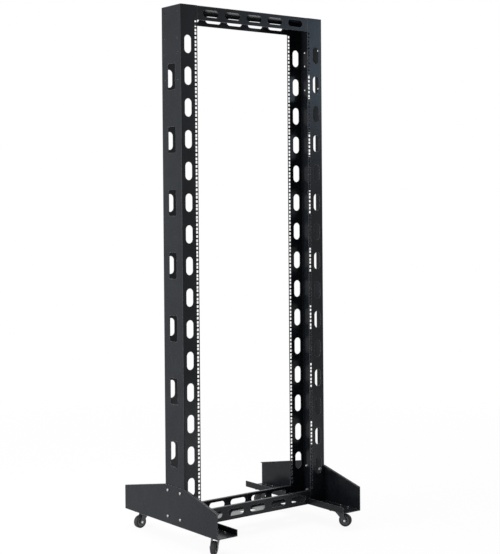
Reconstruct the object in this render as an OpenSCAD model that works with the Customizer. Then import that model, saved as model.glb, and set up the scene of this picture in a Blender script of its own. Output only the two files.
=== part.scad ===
// Two-post open frame rack on swivel casters.
// X runs across the rack, Y runs front (-) to rear (+), Z is up and the
// floor under the wheels is Z = 0. All lengths are millimetres.

/* [Rack spacing] */
// Number of rack units between the beams
units = 42; // [10:1:48]
// Distance between the left and right lines of mounting holes
rail_spacing = 566.7; // [465.1:0.1:566.7]
// Distance from a line of mounting holes to the flange's inner edge
rail_edge = 7.55; // [7:0.05:9]
// Side of a square mounting hole
square_hole = 9.5; // [9:0.1:10]
// Plain post left beyond the first and the last mounting hole
end_margin = 63; // [60:1:90]

/* [Posts] */
// Width of each post's front and rear flange
flange_w = 76.7; // [60:0.1:90]
// Depth of the posts from the front face to the rear face
post_d = 130; // [110:1:160]
// Sheet thickness of the posts
post_t = 2.5; // [2:0.1:3]
// Outer bend radius of the posts
bend_r = 4; // [3.5:0.1:6]

/* [Cable slots in the flanges] */
// Spacing of the slots
slot_pitch = 120; // [90:1:120]
// Length of a slot
slot_len = 69; // [40:1:80]
// Width of a slot
slot_w = 32; // [16:1:34]
// Distance from the post's outer face to the slot centre line
slot_inset = 32.5; // [24:0.1:34]
// Distance from the post's top end to the first slot centre
slot_start = 150; // [130:1:170]
// Least distance from the last slot centre to the post's lower end
slot_stop = 140; // [130:1:170]

/* [Cut-outs in the webs] */
// Height of a cut-out
window_h = 100; // [60:1:150]
// Width of a cut-out, along the post's depth
window_w = 50; // [30:1:56]
// Corner radius of a cut-out
window_r = 6; // [3:1:10]

/* [Bolt holes in the webs] */
// Spacing of the bolt holes across the post's depth
bolt_dy = 83; // [70:1:90]
// Spacing of the bolt holes along the post
bolt_dz = 100; // [60:1:100]
// Distance from the post's end to the first bolt hole
bolt_end = 26; // [20:1:40]
// Diameter of the bolt holes
bolt_hole = 7; // [6:0.5:9]
// Distance from the post's top end to the upper accessory hole
accessory_start = 182; // [170:1:190]
// Diameter of the accessory holes
accessory_hole = 7; // [5:0.5:9]

/* [Beams] */
// Height of the beams between the posts
beam_h = 55; // [48:1:62]
// Sheet thickness of the beams
beam_t = 2.5; // [2:0.1:3]
// Number of slots in each beam
beam_slot_n = 5; // [3:1:6]
// Metal left between two beam slots
beam_slot_web = 30; // [16:1:34]
// Metal left between a post and the nearest beam slot
beam_slot_end = 25.8; // [16:0.1:30]
// Height of a beam slot
beam_slot_h = 27; // [15:1:30]
// Depth of the return along the top of a bottom beam
beam_return = 12; // [8:1:20]

/* [Feet] */
// Length of a foot in front of the post
foot_front = 210; // [150:1:300]
// Length of a foot behind the post
foot_rear = 285; // [150:1:400]
// Height of the foot plate at its two ends
foot_end_h = 95; // [60:1:110]
// Height of the foot plate at the post
foot_h = 149; // [145:1:200]
// Width of the foot from the plate to the lip
foot_w = 93; // [85:1:100]
// Height of the lip along the foot's inner side
lip_h = 25; // [10:1:30]
// Sheet thickness of the feet
foot_t = 3; // [2:0.1:4]

/* [Casters] */
// Height of the foot above the floor
caster_h = 68; // [64:1:80]
// Wheel diameter
wheel_d = 50; // [40:1:50]
// Width of the tyre
tyre_w = 20; // [14:1:22]
// Distance of the front swivel pins from the front end of the feet
front_pin = 72; // [60:1:90]
// Distance of the rear swivel pins from the rear end of the feet
rear_pin = 72; // [60:1:100]
// Distance of the wheel axle behind the swivel pin
trail = 24; // [14:1:26]
// Width of a caster's top plate
plate_w = 68; // [66:1:74]
// Depth of a caster's top plate
plate_d = 60; // [56:1:66]
// Spacing of the plate bolts across
plate_bolt_x = 54; // [50:1:56]
// Spacing of the plate bolts along the foot
plate_bolt_y = 44; // [40:1:46]
// Direction of the front left wheel
turn_fl = 217; // [0:1:360]
// Direction of the front right wheel
turn_fr = 303; // [0:1:360]
// Direction of the rear left wheel
turn_rl = 183; // [0:1:360]
// Direction of the rear right wheel
turn_rr = 170; // [0:1:360]

/* [Hidden] */
$fn = 48;
eps = 1;
powder_black = [0.16, 0.17, 0.19];
zinc = [0.62, 0.63, 0.65];
rubber = [0.09, 0.09, 0.1];
hub_grey = [0.3, 0.31, 0.33];

// Three mounting holes in each rack unit
unit_h = 44.45;
hole_step = 15.875;
hole_pair = unit_h - 2 * hole_step;

hole_n = 3 * units;
hole_run = units * unit_h - hole_pair;
post_h = hole_run + 2 * end_margin;
opening_w = rail_spacing - 2 * rail_edge;
outer_w = opening_w + 2 * flange_w;
post_z = caster_h + foot_t;
top_z = post_z + post_h;
slot_n = floor((post_h - slot_start - slot_stop) / slot_pitch) + 1;
window_n = floor(slot_n / 2);
window_pitch = 2 * slot_pitch;
window_start = slot_start + slot_pitch;
foot_l = foot_front + post_d + foot_rear;
foot_y = -foot_l / 2;
post_y = foot_y + foot_front + post_d / 2;
foot_out = outer_w / 2 + foot_t;
lip_x = foot_out - foot_w;
beam_z = caster_h;
beam_slot_run = opening_w - 2 * beam_slot_end;
beam_slot_len = (beam_slot_run - (beam_slot_n - 1) * beam_slot_web) / beam_slot_n;
beam_slot_pitch = beam_slot_len + beam_slot_web;
lip_gap = 0.5;

// Caster build-up, from the foot down
plate_t = 2.5;
plate_hole = 6.5;
cup_h = 4;
cup_d = 44;
swivel_gap = 0.5;
crown_t = 3;
crown_d = 40;
pin_d = 8;
pin_head = 12;
pin_head_t = 2;
turn_fit = 0.25;
leg_t = 2;
leg_gap = 1;
leg_end = 8;
axle_d = 6;
axle_head = 10;
axle_head_t = 3;
hub_d = 34;
boss_stand = 1;
boss_wall = 5;
hub_dish = 3;
tread_r = 4;
hub_w = tyre_w + 2 * boss_stand;
hub_bore_fit = 0.4;
seat_fit = 0.2;
pin_x = foot_out - foot_w / 2;
front_pin_y = foot_y + front_pin;
rear_pin_y = foot_y + foot_l - rear_pin;
cup_z = caster_h - plate_t - cup_h;
crown_z = cup_z - swivel_gap - crown_t;
fork_in = hub_w + 2 * leg_gap;

// Height of mounting hole k below the top hole
function hole_drop(k) = unit_h * floor(k / 3) + hole_step * (k % 3);

// ---- shared 2D shapes ----

// Slot with round ends, its long side along X
module obround(len, wide) {
    square([len - wide, wide], center = true);
    for (side = [-1, 1])
        translate([side * (len - wide) / 2, 0]) circle(d = wide);
}

// Rectangle with round corners
module round_rect(x, y, r) {
    square([x - 2 * r, y], center = true);
    square([x, y - 2 * r], center = true);
    for (i = [-1, 1], j = [-1, 1])
        translate([i * (x / 2 - r), j * (y / 2 - r)]) circle(r = r);
}

// Bent channel, web along X = 0 and open towards +X
module channel(wide, deep, t, r) {
    difference() {
        bent_block(wide, deep, r);
        translate([t, 0]) bent_block(wide, deep - 2 * t, r - t);
    }
}

// Rectangle from X = 0 with only its two corners at X = 0 rounded
module bent_block(wide, deep, r) {
    translate([r, -deep / 2]) square([wide - r, deep]);
    translate([0, -deep / 2 + r]) square([r, deep - 2 * r]);
    for (side = [-1, 1])
        translate([r, side * (deep / 2 - r)]) circle(r = r);
}

// ---- posts ----

// Left post: web outside, both flanges pointing into the rack
module post() {
    difference() {
        translate([-outer_w / 2, post_y, post_z])
            linear_extrude(post_h) channel(flange_w, post_d, post_t, bend_r);
        mounting_holes();
        flange_slots();
        web_windows();
        web_bolt_holes();
    }
}

module mounting_holes() {
    for (k = [0 : hole_n - 1])
        translate([-rail_spacing / 2, post_y, top_z - end_margin - hole_drop(k)])
            cube([square_hole, post_d + 2 * eps, square_hole], center = true);
}

module flange_slots() {
    for (i = [0 : slot_n - 1])
        translate([-outer_w / 2 + slot_inset, post_y, top_z - slot_start - i * slot_pitch])
            rotate([90, 90, 0])
                linear_extrude(post_d + 2 * eps, center = true) obround(slot_len, slot_w);
}

module web_windows() {
    for (i = [0 : window_n - 1])
        translate([-outer_w / 2, post_y, top_z - window_start - i * window_pitch])
            rotate([90, 0, 90])
                linear_extrude(2 * post_t + eps, center = true)
                    round_rect(window_w, window_h, window_r);
}

module web_bolt_holes() {
    rows = [bolt_end, bolt_end + bolt_dz, post_h - bolt_end - bolt_dz, post_h - bolt_end];
    for (z = rows) web_hole_row(z, bolt_hole);
    for (z = [accessory_start, accessory_start + bolt_dz]) web_hole_row(z, accessory_hole);
}

// Two holes through the web at one distance below the post's top
module web_hole_row(drop, d) {
    for (side = [-1, 1])
        translate([-outer_w / 2, post_y + side * bolt_dy / 2, top_z - drop])
            rotate([0, 90, 0]) cylinder(h = 2 * post_t + eps, d = d, center = true);
}

module left_post() {
    color(powder_black) post();
}

module right_post() {
    color(powder_black) mirror([1, 0, 0]) post();
}

// ---- beams ----

// Row of slots through a face whose normal is Y
module beam_slots(z, depth) {
    for (i = [0 : beam_slot_n - 1])
        translate([(i - (beam_slot_n - 1) / 2) * beam_slot_pitch, 0, z])
            rotate([90, 0, 0])
                linear_extrude(depth, center = true) obround(beam_slot_len, beam_slot_h);
}

// Channel between the posts, open downwards, its web running on into the posts
module top_beam() {
    web_l = outer_w - 2 * bend_r;
    web_d = post_d - 2 * post_t;
    color(powder_black) translate([0, post_y, 0]) difference() {
        union() {
            translate([-opening_w / 2, 0, top_z])
                rotate([0, 90, 0])
                    linear_extrude(opening_w) channel(beam_h, post_d, beam_t, bend_r);
            translate([-web_l / 2, -web_d / 2, top_z - beam_t]) cube([web_l, web_d, beam_t]);
        }
        beam_slots(top_z - beam_h / 2, post_d + 2 * eps);
    }
}

// Slotted face with a return along its top, seen from the front
module bottom_beam() {
    difference() {
        union() {
            translate([-opening_w / 2, 0, beam_z]) cube([opening_w, beam_t, beam_h]);
            translate([-opening_w / 2, 0, beam_z + beam_h - beam_t])
                cube([opening_w, beam_return, beam_t]);
        }
        for (side = [-1, 1]) beam_notch(side);
        beam_slots(beam_z + beam_h / 2, 2 * beam_return);
    }
}

// Room for the foot's lip at one end of a bottom beam
module beam_notch(side) {
    reach = opening_w / 2 - lip_x + lip_gap;
    translate([side * (opening_w / 2 + eps - (reach + eps) / 2), 0, beam_z + lip_h / 2 - eps / 2])
        cube([reach + eps, 2 * beam_return + eps, lip_h + eps], center = true);
}

module front_bottom_beam() {
    color(powder_black) translate([0, post_y - post_d / 2, 0]) bottom_beam();
}

module rear_bottom_beam() {
    color(powder_black) translate([0, post_y + post_d / 2, 0]) mirror([0, 1, 0]) bottom_beam();
}

// ---- feet ----

// Side outline of the foot plate
module foot_outline() {
    polygon([
        [0, 0],
        [foot_l, 0],
        [foot_l, foot_end_h],
        [foot_front + post_d, foot_h],
        [foot_front, foot_h],
        [0, foot_end_h]
    ]);
}

// Left foot: tall plate outside, bottom and lip turned inwards
module foot() {
    difference() {
        translate([0, foot_y, caster_h]) union() {
            translate([-foot_out, 0, 0]) rotate([90, 0, 90])
                linear_extrude(foot_t) foot_outline();
            translate([-foot_out, 0, 0]) cube([foot_w, foot_l, foot_t]);
            translate([-lip_x - foot_t, 0, 0]) cube([foot_t, foot_l, lip_h]);
        }
        foot_bolt_holes();
        for (y = [front_pin_y, rear_pin_y])
            translate([-pin_x, y, caster_h]) plate_holes(foot_t);
    }
}

// Holes that match the post's lower bolt holes
module foot_bolt_holes() {
    for (side = [-1, 1], z = [bolt_end, bolt_end + bolt_dz])
        translate([-foot_out, post_y + side * bolt_dy / 2, post_z + z])
            rotate([0, 90, 0]) cylinder(h = 2 * foot_t + eps, d = bolt_hole, center = true);
}

// The four bolt holes of a caster's top plate
module plate_holes(t) {
    for (i = [-1, 1], j = [-1, 1])
        translate([i * plate_bolt_x / 2, j * plate_bolt_y / 2, 0])
            cylinder(h = 2 * t + eps, d = plate_hole, center = true);
}

module left_foot() {
    color(powder_black) foot();
}

module right_foot() {
    color(powder_black) mirror([1, 0, 0]) foot();
}

// ---- casters ----

// Puts a caster's fixed plate at one corner of the rack
module at_pin(x, y) {
    translate([x * pin_x, y, 0]) children();
}

// Puts what swivels at one corner, turned to its rest direction
module at_swivel(x, y, turn) {
    at_pin(x, y) rotate([0, 0, turn]) children();
}

// Top plate, bearing cup and swivel pin, fixed to the foot
module caster_plate() {
    pin_l = cup_h + swivel_gap + crown_t + swivel_gap;
    color(zinc) {
        difference() {
            translate([0, 0, caster_h - plate_t / 2])
                cube([plate_w, plate_d, plate_t], center = true);
            translate([0, 0, caster_h - plate_t / 2]) plate_holes(plate_t);
        }
        translate([0, 0, cup_z]) cylinder(h = cup_h, d = cup_d);
        translate([0, 0, caster_h - plate_t - pin_l]) cylinder(h = pin_l, d = pin_d);
        translate([0, 0, caster_h - plate_t - pin_l - pin_head_t])
            cylinder(h = pin_head_t, d = pin_head);
    }
}

// Crown and two legs that carry the axle
module fork() {
    color(zinc) difference() {
        union() {
            translate([0, 0, crown_z]) cylinder(h = crown_t, d = crown_d);
            for (side = [-1, 1])
                translate([0, side * (fork_in + leg_t) / 2, 0]) rotate([90, 0, 0])
                    linear_extrude(leg_t, center = true) leg_outline();
        }
        translate([0, 0, crown_z - eps]) cylinder(h = crown_t + 2 * eps, d = pin_d + 2 * turn_fit);
        translate([trail, 0, wheel_d / 2]) rotate([90, 0, 0])
            cylinder(h = fork_in + 4 * leg_t, d = axle_d + turn_fit, center = true);
    }
}

// Leg, wide at the crown and round at the axle
module leg_outline() {
    half = sqrt(pow(crown_d / 2, 2) - pow(fork_in / 2 + leg_t, 2));
    translate([trail, wheel_d / 2]) circle(r = leg_end);
    polygon([
        [-half, crown_z + crown_t],
        [half, crown_z + crown_t],
        [trail + leg_end, wheel_d / 2],
        [trail - leg_end, wheel_d / 2],
        [-half, crown_z]
    ]);
}

// Axle bolt with its head and nut
module axle() {
    reach = fork_in / 2 + leg_t;
    color(zinc) translate([trail, 0, wheel_d / 2]) rotate([90, 0, 0]) {
        cylinder(h = 2 * reach, d = axle_d, center = true);
        for (side = [-1, 1])
            translate([0, 0, side * (reach + axle_head_t / 2)])
                cylinder(h = axle_head_t, d = axle_head, center = true, $fn = 6);
    }
}

// Wheel centre with its raised boss, bored for the axle
module hub() {
    color(hub_grey) translate([trail, 0, wheel_d / 2]) rotate([90, 0, 0])
        rotate_extrude() hub_section();
}

module hub_section() {
    bore = axle_d / 2 + hub_bore_fit;
    rim = hub_d / 2 - seat_fit;
    translate([bore, -hub_w / 2]) square([axle_d / 2 + boss_wall - bore, hub_w]);
    translate([bore, -tyre_w / 2 + hub_dish]) square([rim - bore, tyre_w - 2 * hub_dish]);
    translate([rim - hub_dish, -tyre_w / 2]) square([hub_dish, tyre_w]);
}

// Rubber tyre with a rounded tread
module tyre() {
    color(rubber) translate([trail, 0, wheel_d / 2]) rotate([90, 0, 0])
        rotate_extrude() {
            translate([hub_d / 2, -tyre_w / 2])
                square([wheel_d / 2 - hub_d / 2 - tread_r, tyre_w]);
            translate([hub_d / 2, -tyre_w / 2 + tread_r])
                square([wheel_d / 2 - hub_d / 2, tyre_w - 2 * tread_r]);
            for (side = [-1, 1])
                translate([wheel_d / 2 - tread_r, side * (tyre_w / 2 - tread_r)])
                    circle(r = tread_r);
        }
}

module front_left_caster_plate() at_pin(-1, front_pin_y) caster_plate();
module front_right_caster_plate() at_pin(1, front_pin_y) caster_plate();
module rear_left_caster_plate() at_pin(-1, rear_pin_y) caster_plate();
module rear_right_caster_plate() at_pin(1, rear_pin_y) caster_plate();

module front_left_fork() at_swivel(-1, front_pin_y, turn_fl) fork();
module front_right_fork() at_swivel(1, front_pin_y, turn_fr) fork();
module rear_left_fork() at_swivel(-1, rear_pin_y, turn_rl) fork();
module rear_right_fork() at_swivel(1, rear_pin_y, turn_rr) fork();

module front_left_axle() at_swivel(-1, front_pin_y, turn_fl) axle();
module front_right_axle() at_swivel(1, front_pin_y, turn_fr) axle();
module rear_left_axle() at_swivel(-1, rear_pin_y, turn_rl) axle();
module rear_right_axle() at_swivel(1, rear_pin_y, turn_rr) axle();

module front_left_hub() at_swivel(-1, front_pin_y, turn_fl) hub();
module front_right_hub() at_swivel(1, front_pin_y, turn_fr) hub();
module rear_left_hub() at_swivel(-1, rear_pin_y, turn_rl) hub();
module rear_right_hub() at_swivel(1, rear_pin_y, turn_rr) hub();

module front_left_tyre() at_swivel(-1, front_pin_y, turn_fl) tyre();
module front_right_tyre() at_swivel(1, front_pin_y, turn_fr) tyre();
module rear_left_tyre() at_swivel(-1, rear_pin_y, turn_rl) tyre();
module rear_right_tyre() at_swivel(1, rear_pin_y, turn_rr) tyre();

left_post();
right_post();
top_beam();
front_bottom_beam();
rear_bottom_beam();
left_foot();
right_foot();
front_left_caster_plate();
front_right_caster_plate();
rear_left_caster_plate();
rear_right_caster_plate();
front_left_fork();
front_right_fork();
rear_left_fork();
rear_right_fork();
front_left_axle();
front_right_axle();
rear_left_axle();
rear_right_axle();
front_left_hub();
front_right_hub();
rear_left_hub();
rear_right_hub();
front_left_tyre();
front_right_tyre();
rear_left_tyre();
rear_right_tyre();
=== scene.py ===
"""Two-post open frame rack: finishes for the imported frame, its bolts and the sheet pieces of its base."""
import math
import bmesh
import bpy
from mathutils import Matrix, Vector


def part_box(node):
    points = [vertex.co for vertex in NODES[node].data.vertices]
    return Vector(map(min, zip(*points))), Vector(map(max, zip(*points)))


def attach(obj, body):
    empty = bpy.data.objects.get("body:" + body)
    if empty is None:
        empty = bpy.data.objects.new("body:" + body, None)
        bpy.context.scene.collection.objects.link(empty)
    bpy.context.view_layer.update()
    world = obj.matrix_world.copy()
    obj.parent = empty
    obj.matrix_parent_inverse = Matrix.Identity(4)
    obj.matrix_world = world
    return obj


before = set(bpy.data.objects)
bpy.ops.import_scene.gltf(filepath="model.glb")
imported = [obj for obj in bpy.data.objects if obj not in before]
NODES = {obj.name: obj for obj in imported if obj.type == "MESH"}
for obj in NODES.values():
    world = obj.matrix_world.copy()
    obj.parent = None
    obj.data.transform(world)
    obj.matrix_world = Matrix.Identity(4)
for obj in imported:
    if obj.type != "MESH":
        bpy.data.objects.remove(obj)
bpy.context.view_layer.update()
MM = 0.001
CORNERS = ("front_left", "front_right", "rear_left", "rear_right")
SIDES = (("left", -1), ("right", 1))

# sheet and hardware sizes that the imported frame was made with
POST_SHEET = 2.5 * MM
BEAM_SHEET = 2.5 * MM
FOOT_SHEET = 3 * MM
PLATE_SHEET = 2.5 * MM
THREAD = 6 * MM

# hardware proportions, as shares of the thread size
WASHER_HOLE = 0.53
WASHER_RIM = 1.05
WASHER_THICK = 0.2
WASHER_CHAMFER = 0.05
ACROSS_FLATS = 1.65
HEAD_THICK = 0.65
NUT_THICK = 0.8
THREAD_RADIUS = 0.48
THREAD_SHOWN = 0.45
THREAD_PITCH = 0.12


# ---------------------------------------------------------------- shader groups

def new_group(name, inputs, outputs):
    """Empty shader group with float inputs {name: default} and outputs {name: socket type}."""
    group = bpy.data.node_groups.new(name, "ShaderNodeTree")
    for label, value in inputs.items():
        socket = group.interface.new_socket(name=label, in_out="INPUT", socket_type="NodeSocketFloat")
        socket.default_value = value
    for label, kind in outputs.items():
        group.interface.new_socket(name=label, in_out="OUTPUT", socket_type=kind)
    return group, group.nodes.new("NodeGroupInput"), group.nodes.new("NodeGroupOutput")


def noise(tree, vector, scale, detail, roughness=0.5):
    """Noise value at a vector socket, its scale linked to a socket."""
    tex = tree.nodes.new("ShaderNodeTexNoise")
    tex.inputs["Detail"].default_value = detail
    tex.inputs["Roughness"].default_value = roughness
    tree.links.new(vector, tex.inputs["Vector"])
    tree.links.new(scale, tex.inputs["Scale"])
    return tex.outputs["Fac"]


def object_place(tree):
    """Object coordinates."""
    return tree.nodes.new("ShaderNodeTexCoord").outputs["Object"]


def spread(tree, value, low, high, out_low=0.0, out_high=1.0):
    """Map Range from low..high to out_low..out_high."""
    node = tree.nodes.new("ShaderNodeMapRange")
    tree.links.new(value, node.inputs["Value"])
    for label, number in (("From Min", low), ("From Max", high), ("To Min", out_low), ("To Max", out_high)):
        node.inputs[label].default_value = number
    return node.outputs["Result"]


def combine(tree, operation, first, second):
    """Math node on two sockets, or on a socket and a number."""
    node = tree.nodes.new("ShaderNodeMath")
    node.operation = operation
    tree.links.new(first, node.inputs[0])
    if isinstance(second, float):
        node.inputs[1].default_value = second
    else:
        tree.links.new(second, node.inputs[1])
    return node.outputs["Value"]


def mixed(tree, share, base, other):
    """Mixes a colour towards a fixed other colour by a share socket."""
    mix = tree.nodes.new("ShaderNodeMix")
    mix.data_type = "RGBA"
    mix.inputs["B"].default_value = (*other, 1.0)
    tree.links.new(share, mix.inputs["Factor"])
    tree.links.new(base, mix.inputs["A"])
    return mix.outputs["Result"]


def grain_group():
    """Fine surface grain: a height for the bump and a soft blotch mask."""
    group, given, out = new_group(
        "surface_grain",
        {"Grain Scale": 700.0, "Blotch Scale": 9.0},
        {"Height": "NodeSocketFloat", "Blotch": "NodeSocketFloat"})
    place = object_place(group)
    fine = noise(group, place, given.outputs["Grain Scale"], 2.0, 0.45)
    broad = noise(group, place, given.outputs["Blotch Scale"], 4.0, 0.6)
    group.links.new(fine, out.inputs["Height"])
    group.links.new(spread(group, broad, 0.35, 0.65), out.inputs["Blotch"])
    return group


def scuff_group():
    """Thin rubbed marks: a mask of stretched, broken streaks."""
    group, given, out = new_group(
        "rub_marks",
        {"Streak Scale": 60.0, "Break Scale": 14.0},
        {"Marks": "NodeSocketFloat"})
    place = object_place(group)
    turn = group.nodes.new("ShaderNodeMapping")
    turn.inputs["Rotation"].default_value = (0.5, 0.3, 0.9)
    turn.inputs["Scale"].default_value = (1.0, 7.0, 1.6)
    group.links.new(place, turn.inputs["Vector"])
    streak = noise(group, turn.outputs["Vector"], given.outputs["Streak Scale"], 2.0)
    gaps = noise(group, place, given.outputs["Break Scale"], 2.0)
    marks = combine(group, "MULTIPLY", spread(group, streak, 0.62, 0.74), spread(group, gaps, 0.5, 0.66))
    group.links.new(marks, out.inputs["Marks"])
    return group


def edge_group():
    """Edge wear and painted edge highlight: a mask that is 1 where a sharp edge lies within the radius, for a
    lighter colour that paints a highlight along edges and bends as well as wear.
    """
    group, given, out = new_group("edge_wear_and_highlight", {"Radius": 0.001}, {"Mask": "NodeSocketFloat"})
    rounded = group.nodes.new("ShaderNodeBevel")
    rounded.samples = 6
    group.links.new(given.outputs["Radius"], rounded.inputs["Radius"])
    flat = group.nodes.new("ShaderNodeNewGeometry")
    alike = group.nodes.new("ShaderNodeVectorMath")
    alike.operation = "DOT_PRODUCT"
    group.links.new(rounded.outputs["Normal"], alike.inputs[0])
    group.links.new(flat.outputs["Normal"], alike.inputs[1])
    group.links.new(spread(group, alike.outputs["Value"], 0.97, 0.8), out.inputs["Mask"])
    return group


GRAIN = grain_group()
MARKS = scuff_group()
EDGES = edge_group()


# ---------------------------------------------------------------- materials

def finish_material(name, dark, light, rough, metallic=0.0, specular=0.5, grain=700.0, blotch=9.0,
                    bump=0.1, bump_mm=0.05, rub=None, rub_amount=0.0, streak=60.0,
                    edge=None, edge_mm=1.0):
    """Principled material: colour and roughness vary with the grain, over rub marks and an edge colour that
    is wear and painted highlight along the edges.
    """
    material = bpy.data.materials.new(name)
    material.use_nodes = True
    tree = material.node_tree
    shader = tree.nodes["Principled BSDF"]
    surface = tree.nodes.new("ShaderNodeGroup")
    surface.node_tree = GRAIN
    surface.inputs["Grain Scale"].default_value = grain
    surface.inputs["Blotch Scale"].default_value = blotch
    tone = tree.nodes.new("ShaderNodeMix")
    tone.data_type = "RGBA"
    tone.inputs["A"].default_value = (*dark, 1.0)
    tone.inputs["B"].default_value = (*light, 1.0)
    tree.links.new(surface.outputs["Blotch"], tone.inputs["Factor"])
    colour = tone.outputs["Result"]
    if rub is not None:
        marks = tree.nodes.new("ShaderNodeGroup")
        marks.node_tree = MARKS
        marks.inputs["Streak Scale"].default_value = streak
        share = combine(tree, "MULTIPLY", marks.outputs["Marks"], rub_amount)
        colour = mixed(tree, share, colour, rub)
    # edge colour: wear plus a painted highlight along sharp edges and bends
    if edge is not None:
        edge_wear_highlight = tree.nodes.new("ShaderNodeGroup")
        edge_wear_highlight.node_tree = EDGES
        edge_wear_highlight.inputs["Radius"].default_value = edge_mm * MM
        colour = mixed(tree, edge_wear_highlight.outputs["Mask"], colour, edge)
    tree.links.new(colour, shader.inputs["Base Color"])
    tree.links.new(spread(tree, surface.outputs["Blotch"], 0.0, 1.0, *rough), shader.inputs["Roughness"])
    shader.inputs["Metallic"].default_value = metallic
    shader.inputs["Specular IOR Level"].default_value = specular
    relief = tree.nodes.new("ShaderNodeBump")
    relief.inputs["Strength"].default_value = bump
    relief.inputs["Distance"].default_value = bump_mm * MM
    tree.links.new(surface.outputs["Height"], relief.inputs["Height"])
    tree.links.new(relief.outputs["Normal"], shader.inputs["Normal"])
    return material


COAT_DARK = (0.0075, 0.0089, 0.0112)
COAT_LIGHT = (0.0102, 0.0119, 0.0147)
COAT_RUBBED = (0.05, 0.052, 0.056)
# the coat's light edge colour is a painted highlight along sheet edges and bends, with some wear
POWDER = finish_material(
    "satin_black_powder_coat", COAT_DARK, COAT_LIGHT, (0.24, 0.31), specular=0.14,
    grain=620.0, blotch=7.0, bump=0.3, bump_mm=0.05, rub=COAT_RUBBED, rub_amount=0.25,
    edge=(0.22, 0.225, 0.235), edge_mm=1.2)
WEB_COAT = finish_material(
    "glossier_black_powder_coat", COAT_DARK, COAT_LIGHT, (0.1, 0.14), specular=1.0,
    grain=620.0, blotch=7.0, bump=0.15, bump_mm=0.03, rub=COAT_RUBBED, rub_amount=0.25)
# the light edge colour here is a painted highlight on the caster edges, with some wear
CASTER_STEEL = finish_material(
    "black_zinc_caster_steel", (0.035, 0.036, 0.039), (0.06, 0.061, 0.065), (0.3, 0.42), metallic=0.8,
    grain=900.0, blotch=120.0, bump=0.15, bump_mm=0.03, rub=(0.13, 0.13, 0.135), rub_amount=0.4,
    streak=180.0, edge=(0.3, 0.3, 0.31), edge_mm=0.6)
BOLT = finish_material(
    "bright_zinc_bolts", (0.38, 0.385, 0.39), (0.52, 0.52, 0.52), (0.24, 0.36), metallic=1.0,
    grain=1200.0, blotch=260.0, bump=0.12, bump_mm=0.02)
RUBBER = finish_material(
    "wheel_rubber", (0.012, 0.012, 0.013), (0.024, 0.024, 0.025), (0.62, 0.82), specular=0.35,
    grain=1100.0, blotch=90.0, bump=0.4, bump_mm=0.05, rub=(0.09, 0.088, 0.084), rub_amount=0.4,
    streak=110.0)
NYLON = finish_material(
    "wheel_centre_nylon", (0.05, 0.051, 0.054), (0.075, 0.076, 0.08), (0.38, 0.5), specular=0.5,
    grain=1000.0, blotch=150.0, bump=0.2, bump_mm=0.03)


def paint(obj, material):
    """Gives an object one material."""
    obj.data.materials.clear()
    obj.data.materials.append(material)


def dress_cad_nodes():
    """Every carried-over solid gets its finish."""
    for name, obj in NODES.items():
        if name.endswith(("_fork", "_caster_plate")):
            paint(obj, CASTER_STEEL)
        elif name.endswith("_axle"):
            paint(obj, BOLT)
        elif name.endswith("_hub"):
            paint(obj, NYLON)
        elif name.endswith("_tyre"):
            paint(obj, RUBBER)
        else:
            paint(obj, POWDER)


# ---------------------------------------------------------------- shaping helpers

def piece(name, bm, material, body, smooth=35.0):
    """Turns a bmesh into a finished piece that rides on a body."""
    bmesh.ops.remove_doubles(bm, verts=bm.verts, dist=1e-7)
    bmesh.ops.recalc_face_normals(bm, faces=bm.faces)
    mesh = bpy.data.meshes.new(name)
    bm.to_mesh(mesh)
    bm.free()
    obj = bpy.data.objects.new(name, mesh)
    bpy.context.scene.collection.objects.link(obj)
    mesh.shade_smooth()
    mesh.set_sharp_from_angle(angle=math.radians(smooth))
    paint(obj, material)
    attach(obj, body)


def add_part(bm, part, place):
    """Copies one small bmesh into another at a place, and frees it."""
    bmesh.ops.transform(part, matrix=place, verts=part.verts)
    mesh = bpy.data.meshes.new("part")
    part.to_mesh(mesh)
    part.free()
    bm.from_mesh(mesh)
    bpy.data.meshes.remove(mesh)


def facing(point, direction):
    """Placement whose +Z runs along direction from point."""
    return Matrix.Translation(point) @ Vector(direction).to_track_quat("Z", "Y").to_matrix().to_4x4()


def soften(bm, edges, width):
    """Bevels edges to a small round."""
    bmesh.ops.bevel(bm, geom=edges, offset=width, offset_type="OFFSET", segments=2,
                    profile=0.5, affect="EDGES", material=-1)


def turned(section, steps, closed=False):
    """Full turn round Z of a section of (radius, height) points, closed as a ring or open on the axis."""
    bm = bmesh.new()
    verts = [bm.verts.new((radius, 0.0, height)) for radius, height in section]
    pairs = list(zip(verts, verts[1:]))
    if closed:
        pairs.append((verts[-1], verts[0]))
    edges = [bm.edges.new(pair) for pair in pairs]
    bmesh.ops.spin(bm, geom=verts + edges, cent=(0, 0, 0), axis=(0, 0, 1), angle=math.tau,
                   steps=steps, use_merge=True)
    return bm


def thicken(bm, faces, step):
    """Extrudes faces along a step and gives back the moved vertices."""
    grown = bmesh.ops.extrude_face_region(bm, geom=faces)
    moved = [v for v in grown["geom"] if isinstance(v, bmesh.types.BMVert)]
    bmesh.ops.translate(bm, verts=moved, vec=step)
    return moved


# ---------------------------------------------------------------- small hardware

def washer(size):
    """Flat washer standing on Z = 0, its upper rims chamfered."""
    inner, outer = size * WASHER_HOLE, size * WASHER_RIM
    height, chamfer = size * WASHER_THICK, size * WASHER_CHAMFER
    section = [
        (inner, 0.0), (outer, 0.0), (outer, height - chamfer),
        (outer - chamfer, height), (inner + chamfer, height), (inner, height - chamfer)]
    return turned(section, 32, closed=True)


def hexagon(size, height):
    """Hexagon head or nut standing on Z = 0, its upper rim chamfered."""
    radius, chamfer = size * ACROSS_FLATS / math.sqrt(3), height * 0.14
    bm = bmesh.new()
    bmesh.ops.create_cone(bm, cap_ends=True, segments=6, radius1=radius, radius2=radius, depth=height,
                          matrix=Matrix.Translation((0, 0, height / 2)))
    rim = [e for e in bm.edges if all(v.co.z > height * 0.99 for v in e.verts)]
    soften(bm, rim, chamfer)
    return bm


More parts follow.
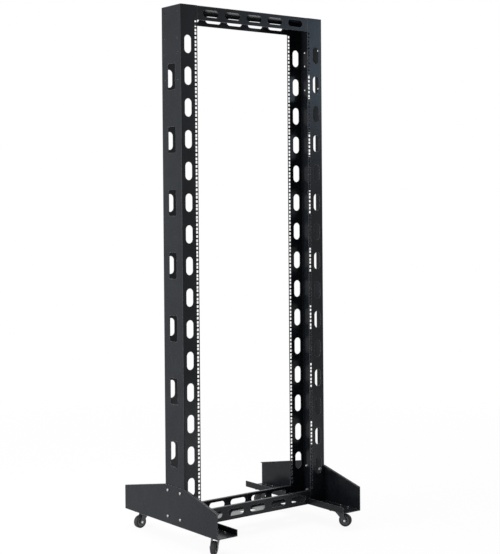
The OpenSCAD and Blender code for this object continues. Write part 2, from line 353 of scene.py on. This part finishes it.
def thread_end(size):
    """Bolt end with turned grooves and a chamfered tip, standing on Z = 0."""
    radius, pitch = size * THREAD_RADIUS, size * THREAD_PITCH
    root, groove, tip = radius * 0.9, radius * 0.88, radius * 0.72
    count = max(2, int(size * THREAD_SHOWN / pitch))
    end = (count + 0.4) * pitch
    section = [(0.0, 0.0), (root, 0.0)]
    for i in range(count):
        section.append((radius, (i + 0.35) * pitch))
        section.append((groove, (i + 0.85) * pitch))
    section += [(tip, end), (0.0, end)]
    return turned(section, 24)


def bolt_head(bm, point, direction, size, with_washer=True):
    """Hex head at a point, on a washer or straight on the sheet."""
    out = Vector(direction).normalized()
    seat = Vector(point)
    if with_washer:
        add_part(bm, washer(size), facing(seat, out))
        seat = seat + out * size * WASHER_THICK
    add_part(bm, hexagon(size, size * HEAD_THICK), facing(seat, out))


def nut_and_end(bm, point, direction, size):
    """Washer, nut and thread end that stand on a sheet along a direction."""
    out = Vector(direction).normalized()
    seat = Vector(point)
    add_part(bm, washer(size), facing(seat, out))
    seat = seat + out * size * WASHER_THICK
    add_part(bm, hexagon(size, size * NUT_THICK), facing(seat, out))
    seat = seat + out * size * NUT_THICK
    add_part(bm, thread_end(size), facing(seat, out))


def foot_bolts():
    """Four bolts that hold each foot plate to its post's web, nuts inside the post."""
    spacing_y, spacing_z, first = 83 * MM, 100 * MM, 26 * MM
    for side, out in SIDES:
        low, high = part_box(side + "_post")
        foot_low, foot_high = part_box(side + "_foot")
        outer = foot_low[0] if out < 0 else foot_high[0]
        inner = outer - out * (FOOT_SHEET + POST_SHEET)
        middle = (low[1] + high[1]) / 2
        heads, nuts = bmesh.new(), bmesh.new()
        for y in (middle - spacing_y / 2, middle + spacing_y / 2):
            for z in (low[2] + first, low[2] + first + spacing_z):
                bolt_head(heads, (outer, y, z), (out, 0, 0), THREAD, with_washer=False)
                nut_and_end(nuts, (inner, y, z), (-out, 0, 0), THREAD)
        piece(side + "_foot_bolt_heads", heads, BOLT, "root")
        piece(side + "_foot_nuts", nuts, BOLT, "root")


def caster_bolts():
    """Four bolts through each caster plate, nuts inside the foot."""
    spread_x, spread_y = 54 * MM, 44 * MM
    for corner in CORNERS:
        low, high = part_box(corner + "_caster_plate")
        x, y, top = (low[0] + high[0]) / 2, (low[1] + high[1]) / 2, high[2]
        bm = bmesh.new()
        for i in (-1, 1):
            for j in (-1, 1):
                at_x, at_y = x + i * spread_x / 2, y + j * spread_y / 2
                bolt_head(bm, (at_x, at_y, top - PLATE_SHEET), (0, 0, -1), THREAD)
                nut_and_end(bm, (at_x, at_y, top + FOOT_SHEET), (0, 0, 1), THREAD)
        piece(corner + "_plate_bolts", bm, CASTER_STEEL, "root")


# ---------------------------------------------------------------- sheet metal

def obround(bm, centre_x, centre_y, length, width, steps=12):
    """Closed ring of edges round a slot with round ends, its long side along X."""
    verts = []
    for end in (1, -1):
        middle = centre_x + end * (length - width) / 2
        start = -math.pi / 2 if end > 0 else math.pi / 2
        for i in range(steps + 1):
            angle = start + math.pi * i / steps
            x = middle + math.cos(angle) * width / 2
            y = centre_y + math.sin(angle) * width / 2
            verts.append(bm.verts.new((x, y, 0.0)))
    return [bm.edges.new((verts[i - 1], verts[i])) for i in range(len(verts))]


def bottom_web():
    """Web between the bottom beams, with a slot at every second slot of the beams."""
    lip_gap, slot_length, slot_width, spacing = 0.5 * MM, 76 * MM, 27 * MM, 212 * MM
    front_low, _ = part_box("front_bottom_beam")
    _, rear_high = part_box("rear_bottom_beam")
    _, left_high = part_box("left_foot")
    right_low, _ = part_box("right_foot")
    left, right = left_high[0] + lip_gap, right_low[0] - lip_gap
    near, far = front_low[1] + BEAM_SHEET, rear_high[1] - BEAM_SHEET
    bm = bmesh.new()
    corners = [bm.verts.new((x, y, 0.0)) for x, y in ((left, near), (right, near), (right, far), (left, far))]
    edges = [bm.edges.new((corners[i - 1], corners[i])) for i in range(4)]
    for i in (-1, 0, 1):
        edges += obround(bm, (left + right) / 2 + i * spacing, (near + far) / 2, slot_length, slot_width)
    bmesh.ops.triangle_fill(bm, use_beauty=True, edges=edges, normal=(0, 0, 1))
    thicken(bm, bm.faces[:], (0, 0, BEAM_SHEET))
    bmesh.ops.translate(bm, verts=bm.verts, vec=(0, 0, front_low[2]))
    piece("bottom_web", bm, WEB_COAT, "root")


def foot_returns():
    """Narrow return along each foot plate's two slopes, clear of the post's faces."""
    end_height, top_height = 95 * MM, 149 * MM
    reach, relief, rim_round = 7 * MM, 3 * MM, 0.8 * MM
    for side, out in SIDES:
        low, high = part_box(side + "_foot")
        post_low, post_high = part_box(side + "_post")
        inner = low[0] + FOOT_SHEET if out < 0 else high[0] - FOOT_SHEET
        bm = bmesh.new()
        for post_face, foot_end in ((post_low[1], low[1]), (post_high[1], high[1])):
            slope = (top_height - end_height) / (post_face - foot_end)
            drop = FOOT_SHEET * math.hypot(1.0, slope)
            stop = post_face + math.copysign(relief, foot_end - post_face)
            foot_z = low[2] + end_height
            upper = [(foot_end, foot_z), (stop, foot_z + slope * (stop - foot_end))]
            outline = upper + [(y, z - drop) for y, z in reversed(upper)]
            face = bm.faces.new([bm.verts.new((inner, y, z)) for y, z in outline])
            moved = thicken(bm, [face], (-out * reach, 0, 0))
            rim = [e for e in bm.edges if all(v in moved for v in e.verts)
                   and abs(e.verts[0].co.y - e.verts[1].co.y) > reach]
            soften(bm, rim, rim_round)
        piece(side + "_foot_returns", bm, POWDER, "root")


# ---------------------------------------------------------------- studio

def seen_rays(tree):
    """Mask of the rays that show the white surroundings: camera, glossy and transmission rays."""
    rays = tree.nodes.new("ShaderNodeLightPath").outputs
    seen = combine(tree, "MAXIMUM", rays["Is Camera Ray"], rays["Is Glossy Ray"])
    return combine(tree, "MAXIMUM", seen, rays["Is Transmission Ray"])


def studio_floor():
    """Pale floor that shows white to the camera and keeps a soft shadow near the rack."""
    half_size, shadow_end, white_start, near_white = 60.0, 0.9, 3.5, 0.94
    bm = bmesh.new()
    bmesh.ops.create_grid(bm, x_segments=1, y_segments=1, size=half_size)
    mesh = bpy.data.meshes.new("studio_floor")
    bm.to_mesh(mesh)
    bm.free()
    floor = bpy.data.objects.new("studio_floor", mesh)
    bpy.context.scene.collection.objects.link(floor)
    material = bpy.data.materials.new("pale_floor")
    material.use_nodes = True
    tree = material.node_tree
    shader = tree.nodes["Principled BSDF"]
    shader.inputs["Base Color"].default_value = (0.86, 0.86, 0.86, 1.0)
    shader.inputs["Roughness"].default_value = 0.9
    shader.inputs["Specular IOR Level"].default_value = 0.1
    glow = tree.nodes.new("ShaderNodeEmission")
    glow.inputs["Strength"].default_value = 1.0
    distance = tree.nodes.new("ShaderNodeVectorMath")
    distance.operation = "LENGTH"
    tree.links.new(object_place(tree), distance.inputs[0])
    whiteness = spread(tree, distance.outputs["Value"], shadow_end, white_start, near_white, 1.0)
    mix = tree.nodes.new("ShaderNodeMixShader")
    tree.links.new(combine(tree, "MULTIPLY", seen_rays(tree), whiteness), mix.inputs["Fac"])
    tree.links.new(shader.outputs["BSDF"], mix.inputs[1])
    tree.links.new(glow.outputs["Emission"], mix.inputs[2])
    tree.links.new(mix.outputs["Shader"], tree.nodes["Material Output"].inputs["Surface"])
    mesh.materials.append(material)


def studio_world():
    """White to the camera and in reflections, a plain grey for diffuse light."""
    world = bpy.data.worlds.new("studio")
    bpy.context.scene.world = world
    world.use_nodes = True
    tree = world.node_tree
    soft = tree.nodes["Background"]
    soft.inputs["Color"].default_value = (0.95, 0.97, 1.0, 1.0)
    soft.inputs["Strength"].default_value = 0.2
    white = tree.nodes.new("ShaderNodeBackground")
    white.inputs["Color"].default_value = (1.0, 1.0, 1.0, 1.0)
    white.inputs["Strength"].default_value = 1.0
    mix = tree.nodes.new("ShaderNodeMixShader")
    tree.links.new(seen_rays(tree), mix.inputs["Fac"])
    tree.links.new(soft.outputs["Background"], mix.inputs[1])
    tree.links.new(white.outputs["Background"], mix.inputs[2])
    tree.links.new(mix.outputs["Shader"], tree.nodes["World Output"].inputs["Surface"])


def area_lamp(name, place, aim, size, power, colour=(1.0, 1.0, 1.0), beam=180):
    """Soft rectangular lamp that looks at a point; size is its width and height, beam its angle."""
    data = bpy.data.lights.new(name, "AREA")
    data.shape = "RECTANGLE"
    data.size, data.size_y = size
    data.energy = power
    data.color = colour
    data.spread = math.radians(beam)
    lamp = bpy.data.objects.new(name, data)
    bpy.context.scene.collection.objects.link(lamp)
    lamp.location = place
    lamp.rotation_mode = "QUATERNION"
    lamp.rotation_quaternion = (Vector(aim) - Vector(place)).to_track_quat("-Z", "Y")


def studio_camera():
    """Camera low on the left front, as the rack is usually shown."""
    yaw, pitch, roll = (math.radians(a) for a in (37.14, -0.73, -0.45))
    data = bpy.data.cameras.new("camera")
    camera = bpy.data.objects.new("camera", data)
    bpy.context.scene.collection.objects.link(camera)
    data.sensor_width = 36.0
    data.lens = 79.75
    data.shift_x = 0.0361
    data.shift_y = -0.0939
    data.clip_start, data.clip_end = 0.05, 200.0
    ahead = Vector((math.sin(yaw) * math.cos(pitch), math.cos(yaw) * math.cos(pitch), math.sin(pitch)))
    right = Vector((math.cos(yaw), -math.sin(yaw), 0.0))
    up = right.cross(ahead)
    tilted_right = right * math.cos(roll) + up * math.sin(roll)
    tilted_up = up * math.cos(roll) - right * math.sin(roll)
    turn = Matrix((tilted_right, tilted_up, -ahead)).transposed()
    camera.rotation_mode = "QUATERNION"
    camera.rotation_quaternion = turn.to_quaternion()
    camera.location = (-3.00265, -3.89922, 1.27472)
    bpy.context.scene.camera = camera


dress_cad_nodes()
bottom_web()
foot_returns()
foot_bolts()
caster_bolts()
studio_floor()
studio_world()
area_lamp("side_strip", (-2.4, 0.3, 1.0), (-0.35, 0, 0.9), (0.9, 2.4), 76, (0.94, 0.97, 1.0))
area_lamp("front_fill", (3.0, -2.5, 2.3), (0.35, 0, 1.8), (0.8, 0.8), 2.3, (0.55, 0.76, 1.0), beam=60)
area_lamp("low_fill", (1.1, -1.7, 0.16), (-0.1, -0.1, 0.09), (0.7, 0.3), 0.3, beam=24)
area_lamp("top_soft", (0.0, 0.6, 4.2), (0, 0, 1.0), (2.5, 2.5), 150)
studio_camera()
bpy.context.scene.view_settings.view_transform = "Standard"
